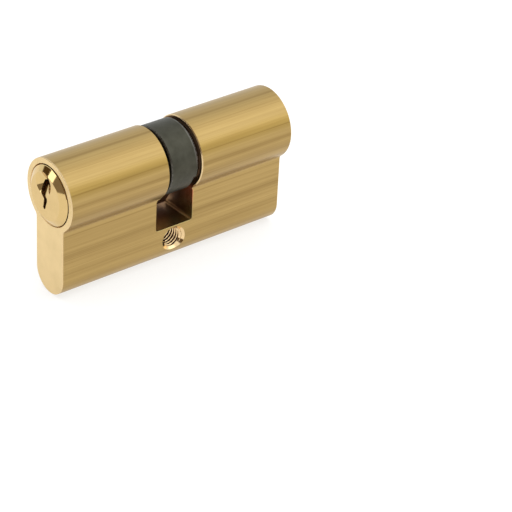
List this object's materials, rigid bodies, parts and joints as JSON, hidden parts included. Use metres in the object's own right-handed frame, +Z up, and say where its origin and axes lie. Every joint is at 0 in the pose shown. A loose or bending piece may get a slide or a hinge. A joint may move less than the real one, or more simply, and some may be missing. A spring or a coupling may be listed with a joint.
{
  "type": "euro cylinder",
  "caption": "Brass euro-profile double lock cylinder, with a keyed plug at each end and a turning cam in the middle.",
  "frame": {"origin": "on the plug axis, at the middle of the housing's length, over the fixing screw hole", "axes": "+X along the plug axis from the front plug to the rear plug, +Z up from the leg to the head, +Y to the side the cam lever leans to"},
  "size_m": [0.0622, 0.0172, 0.033],
  "materials": {
    "satin_brass": "drawn and machined brass, satin",
    "polished_brass": "turned brass, bright",
    "dark_steel": "sintered steel, steam-darkened, satin",
    "spring_steel": "bright spring steel",
    "nickel_silver": "turned nickel silver"
  },
  "bodies": {
    "housing": {"housing": "satin_brass", "chamber_plug_front_1": "satin_brass", "spring_front_1": "spring_steel", "chamber_plug_front_2": "satin_brass", "spring_front_2": "spring_steel", "chamber_plug_front_3": "satin_brass", "spring_front_3": "spring_steel", "chamber_plug_front_4": "satin_brass", "spring_front_4": "spring_steel", "chamber_plug_front_5": "satin_brass", "spring_front_5": "spring_steel", "chamber_plug_rear_1": "satin_brass", "spring_rear_1": "spring_steel", "chamber_plug_rear_2": "satin_brass", "spring_rear_2": "spring_steel", "chamber_plug_rear_3": "satin_brass", "spring_rear_3": "spring_steel", "chamber_plug_rear_4": "satin_brass", "spring_rear_4": "spring_steel", "chamber_plug_rear_5": "satin_brass", "spring_rear_5": "spring_steel"},
    "cam": {"cam": "dark_steel"},
    "front_plug": {"plug_front": "polished_brass", "retaining_ring_front": "spring_steel"},
    "front_clutch": {"clutch_front": "spring_steel"},
    "front_key_pin_1": {"key_pin_front_1": "polished_brass"},
    "front_driver_pin_1": {"driver_pin_front_1": "nickel_silver"},
    "front_key_pin_2": {"key_pin_front_2": "polished_brass"},
    "front_driver_pin_2": {"driver_pin_front_2": "nickel_silver"},
    "front_key_pin_3": {"key_pin_front_3": "polished_brass"},
    "front_driver_pin_3": {"driver_pin_front_3": "nickel_silver"},
    "front_key_pin_4": {"key_pin_front_4": "polished_brass"},
    "front_driver_pin_4": {"driver_pin_front_4": "nickel_silver"},
    "front_key_pin_5": {"key_pin_front_5": "polished_brass"},
    "front_driver_pin_5": {"driver_pin_front_5": "nickel_silver"},
    "rear_plug": {"plug_rear": "polished_brass", "retaining_ring_rear": "spring_steel"},
    "rear_clutch": {"clutch_rear": "spring_steel"},
    "rear_key_pin_1": {"key_pin_rear_1": "polished_brass"},
    "rear_driver_pin_1": {"driver_pin_rear_1": "nickel_silver"},
    "rear_key_pin_2": {"key_pin_rear_2": "polished_brass"},
    "rear_driver_pin_2": {"driver_pin_rear_2": "nickel_silver"},
    "rear_key_pin_3": {"key_pin_rear_3": "polished_brass"},
    "rear_driver_pin_3": {"driver_pin_rear_3": "nickel_silver"},
    "rear_key_pin_4": {"key_pin_rear_4": "polished_brass"},
    "rear_driver_pin_4": {"driver_pin_rear_4": "nickel_silver"},
    "rear_key_pin_5": {"key_pin_rear_5": "polished_brass"},
    "rear_driver_pin_5": {"driver_pin_rear_5": "nickel_silver"}
  },
  "joints": [
    {"name": "front_plug_turn", "type": "hinge", "parent": "housing", "child": "front_plug", "pos_m": [0, 0, 0], "axis": [1, 0, 0], "continuous": true},
    {"name": "rear_plug_turn", "type": "hinge", "parent": "housing", "child": "rear_plug", "pos_m": [0, 0, 0], "axis": [1, 0, 0], "continuous": true},
    {"name": "cam_turn", "type": "hinge", "parent": "housing", "child": "cam", "pos_m": [0.00025, 0, 0], "axis": [1, 0, 0], "continuous": true},
    {"name": "front_clutch_slide", "type": "slide", "parent": "front_plug", "child": "front_clutch", "axis": [1, 0, 0], "range_m": [-0.0019, 0]},
    {"name": "rear_clutch_slide", "type": "slide", "parent": "rear_plug", "child": "rear_clutch", "axis": [1, 0, 0], "range_m": [-0.0019, 0]},
    {"name": "front_key_pin_1_lift", "type": "slide", "parent": "front_plug", "child": "front_key_pin_1", "axis": [0, 0, 1], "range_m": [0, 0.0024]},
    {"name": "front_key_pin_2_lift", "type": "slide", "parent": "front_plug", "child": "front_key_pin_2", "axis": [0, 0, 1], "range_m": [0, 0.0012]},
    {"name": "front_key_pin_3_lift", "type": "slide", "parent": "front_plug", "child": "front_key_pin_3", "axis": [0, 0, 1], "range_m": [0, 0.0018]},
    {"name": "front_key_pin_4_lift", "type": "slide", "parent": "front_plug", "child": "front_key_pin_4", "axis": [0, 0, 1], "range_m": [0, 0.0006]},
    {"name": "front_key_pin_5_lift", "type": "slide", "parent": "front_plug", "child": "front_key_pin_5", "axis": [0, 0, 1], "range_m": [0, 0.0021]},
    {"name": "rear_key_pin_1_lift", "type": "slide", "parent": "rear_plug", "child": "rear_key_pin_1", "axis": [0, 0, 1], "range_m": [0, 0.0024]},
    {"name": "rear_key_pin_2_lift", "type": "slide", "parent": "rear_plug", "child": "rear_key_pin_2", "axis": [0, 0, 1], "range_m": [0, 0.0012]},
    {"name": "rear_key_pin_3_lift", "type": "slide", "parent": "rear_plug", "child": "rear_key_pin_3", "axis": [0, 0, 1], "range_m": [0, 0.0018]},
    {"name": "rear_key_pin_4_lift", "type": "slide", "parent": "rear_plug", "child": "rear_key_pin_4", "axis": [0, 0, 1], "range_m": [0, 0.0006]},
    {"name": "rear_key_pin_5_lift", "type": "slide", "parent": "rear_plug", "child": "rear_key_pin_5", "axis": [0, 0, 1], "range_m": [0, 0.0021]},
    {"name": "front_driver_pin_1_press", "type": "slide", "parent": "housing", "child": "front_driver_pin_1", "axis": [0, 0, -1], "range_m": [0, 0.0025], "stiffness_N_per_m": 150, "springref_m": -0.004, "deforming": ["spring_front_1"]},
    {"name": "front_driver_pin_2_press", "type": "slide", "parent": "housing", "child": "front_driver_pin_2", "axis": [0, 0, -1], "range_m": [0, 0.0025], "stiffness_N_per_m": 150, "springref_m": -0.004, "deforming": ["spring_front_2"]},
    {"name": "front_driver_pin_3_press", "type": "slide", "parent": "housing", "child": "front_driver_pin_3", "axis": [0, 0, -1], "range_m": [0, 0.0025], "stiffness_N_per_m": 150, "springref_m": -0.004, "deforming": ["spring_front_3"]},
    {"name": "front_driver_pin_4_press", "type": "slide", "parent": "housing", "child": "front_driver_pin_4", "axis": [0, 0, -1], "range_m": [0, 0.0025], "stiffness_N_per_m": 150, "springref_m": -0.004, "deforming": ["spring_front_4"]},
    {"name": "front_driver_pin_5_press", "type": "slide", "parent": "housing", "child": "front_driver_pin_5", "axis": [0, 0, -1], "range_m": [0, 0.0025], "stiffness_N_per_m": 150, "springref_m": -0.004, "deforming": ["spring_front_5"]},
    {"name": "rear_driver_pin_1_press", "type": "slide", "parent": "housing", "child": "rear_driver_pin_1", "axis": [0, 0, -1], "range_m": [0, 0.0025], "stiffness_N_per_m": 150, "springref_m": -0.004, "deforming": ["spring_rear_1"]},
    {"name": "rear_driver_pin_2_press", "type": "slide", "parent": "housing", "child": "rear_driver_pin_2", "axis": [0, 0, -1], "range_m": [0, 0.0025], "stiffness_N_per_m": 150, "springref_m": -0.004, "deforming": ["spring_rear_2"]},
    {"name": "rear_driver_pin_3_press", "type": "slide", "parent": "housing", "child": "rear_driver_pin_3", "axis": [0, 0, -1], "range_m": [0, 0.0025], "stiffness_N_per_m": 150, "springref_m": -0.004, "deforming": ["spring_rear_3"]},
    {"name": "rear_driver_pin_4_press", "type": "slide", "parent": "housing", "child": "rear_driver_pin_4", "axis": [0, 0, -1], "range_m": [0, 0.0025], "stiffness_N_per_m": 150, "springref_m": -0.004, "deforming": ["spring_rear_4"]},
    {"name": "rear_driver_pin_5_press", "type": "slide", "parent": "housing", "child": "rear_driver_pin_5", "axis": [0, 0, -1], "range_m": [0, 0.0025], "stiffness_N_per_m": 150, "springref_m": -0.004, "deforming": ["spring_rear_5"]}
  ],
  "couplings": [
    {"joint": "cam_turn", "follows": "front_plug_turn", "ratio": 1},
    {"joint": "rear_clutch_slide", "follows": "front_clutch_slide", "ratio": 1}
  ]
}
